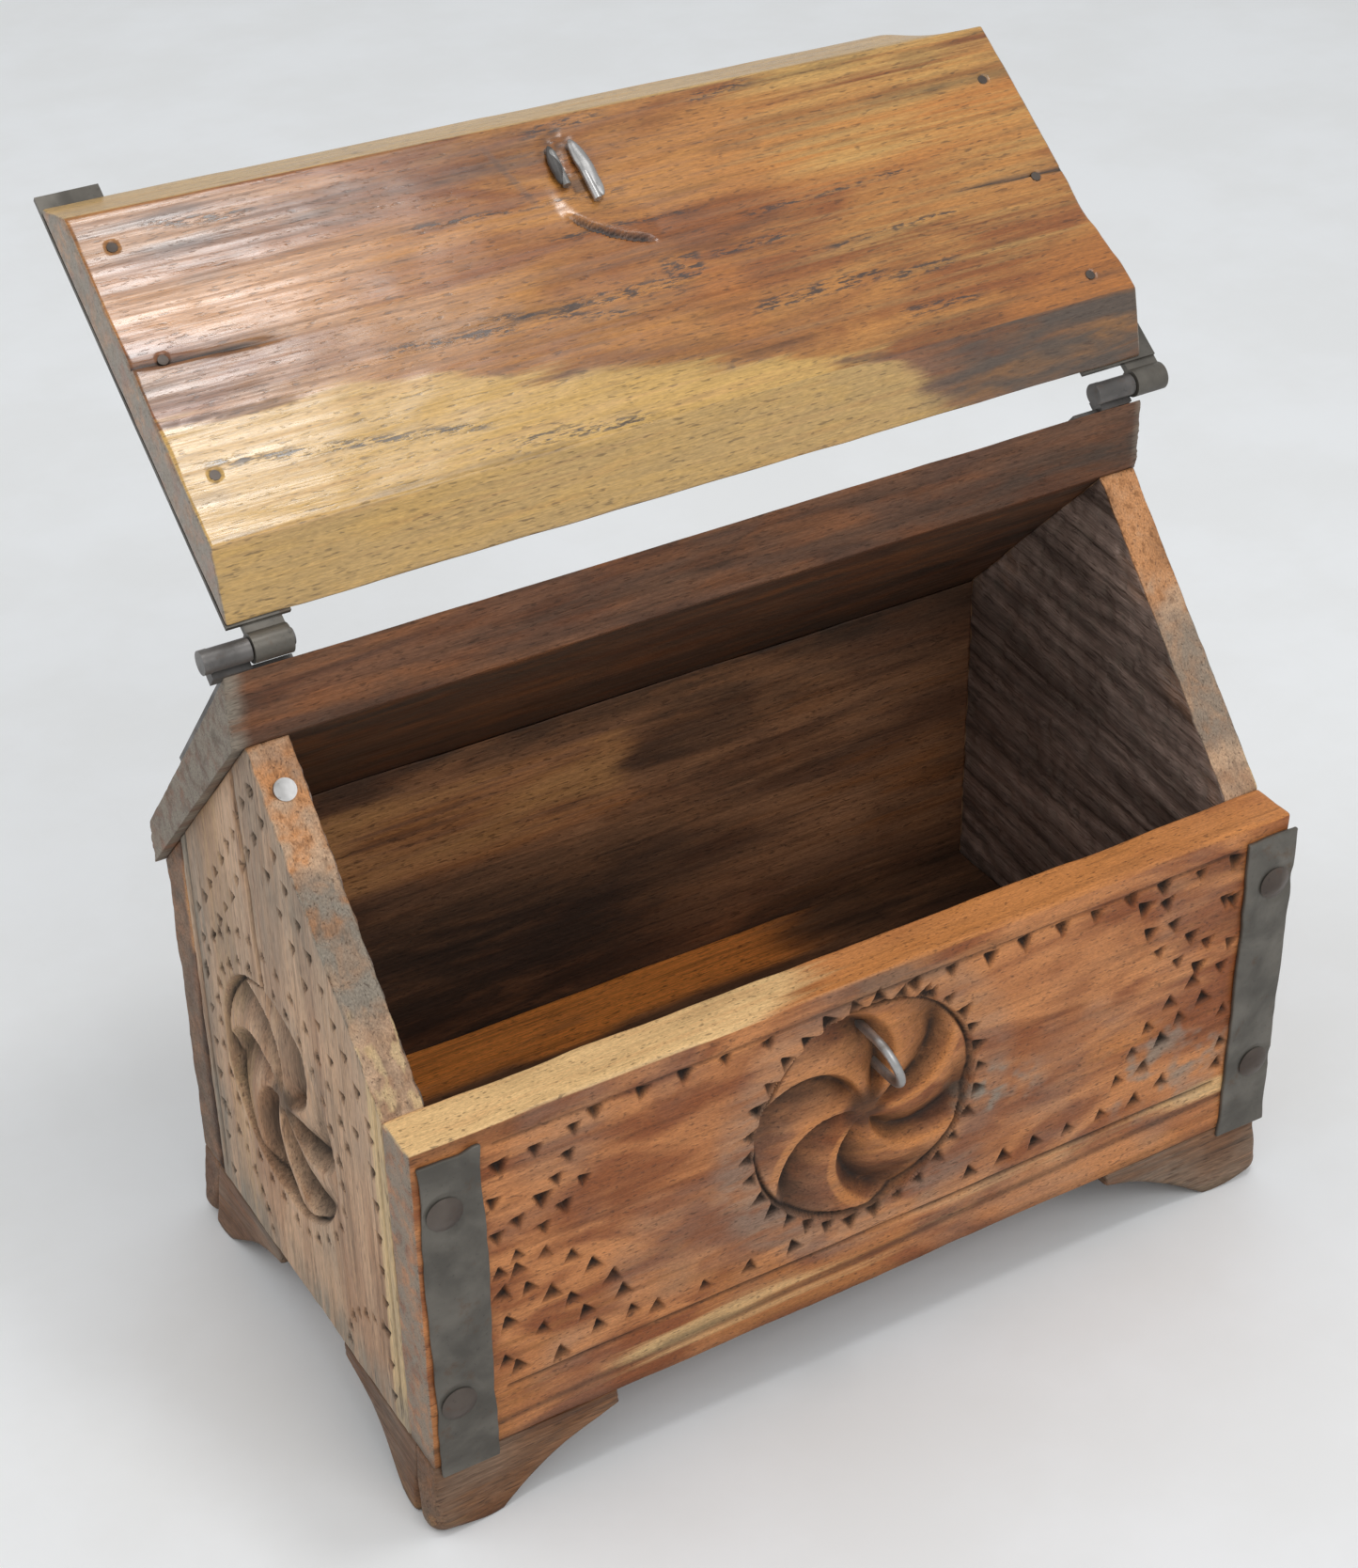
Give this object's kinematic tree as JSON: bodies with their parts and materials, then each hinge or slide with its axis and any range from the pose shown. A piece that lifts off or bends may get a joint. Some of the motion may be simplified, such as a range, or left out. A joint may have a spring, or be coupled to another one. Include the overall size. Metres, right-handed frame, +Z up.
{
  "type": "donation box",
  "caption": "Carved plank donation box with a ridged roof, a sloping strap-hinged lid, iron corner straps, bracket feet, and a hasp and staple for a padlock.",
  "frame": {"origin": "on the floor, under the middle of the whole, open lid included", "axes": "+Z up, -Y out of the carved front panel, +X to the right seen from the front"},
  "size_m": [0.3158, 0.2142, 0.3371],
  "materials": {
    "box_wood": "worn, carved, satin",
    "inner_wood": "dark, dusty",
    "lid_wood": "planed, satin",
    "foot_wood": "worn, satin",
    "strap_iron": "wrought, dark, faint rust",
    "nail_iron": "wrought, dark",
    "wire_steel": "worn bright"
  },
  "bodies": {
    "box": {"front_panel": "box_wood", "back_panel": "box_wood", "left_side_panel": "box_wood", "right_side_panel": "box_wood", "floor_board": "inner_wood", "roof_board": "box_wood", "front_left_foot_front": "foot_wood", "front_left_foot_side": "foot_wood", "front_right_foot_front": "foot_wood", "front_right_foot_side": "foot_wood", "back_left_foot_back": "foot_wood", "back_left_foot_side": "foot_wood", "back_right_foot_back": "foot_wood", "back_right_foot_side": "foot_wood", "front_left_corner_strap": "strap_iron", "front_right_corner_strap": "strap_iron", "back_left_corner_strap": "strap_iron", "back_right_corner_strap": "strap_iron", "left_hinge_box_leaf": "strap_iron", "right_hinge_box_leaf": "strap_iron", "left_hinge_pin": "nail_iron", "right_hinge_pin": "nail_iron", "corner_strap_nails": "nail_iron", "hinge_leaf_nails": "nail_iron", "roof_nails": "nail_iron", "side_edge_nail": "nail_iron", "foot_brads": "nail_iron", "front_staple": "wire_steel"},
    "lid": {"lid_board": "lid_wood", "left_lid_strap": "strap_iron", "right_lid_strap": "strap_iron", "lid_strap_nails": "nail_iron", "hasp_eye": "wire_steel"},
    "hasp": {"hasp": "strap_iron"}
  },
  "joints": [
    {"name": "lid_hinge", "type": "hinge", "parent": "box", "child": "lid", "pos_m": [0, -0.00761, 0.25057], "axis": [1, 0, 0], "range_deg": [-35, 192.5]},
    {"name": "hasp_swing", "type": "hinge", "parent": "lid", "child": "hasp", "pos_m": [-0.004, 0.0851, 0.31412], "axis": [1, 0, 0], "range_deg": [-20, 147.17]}
  ]
}
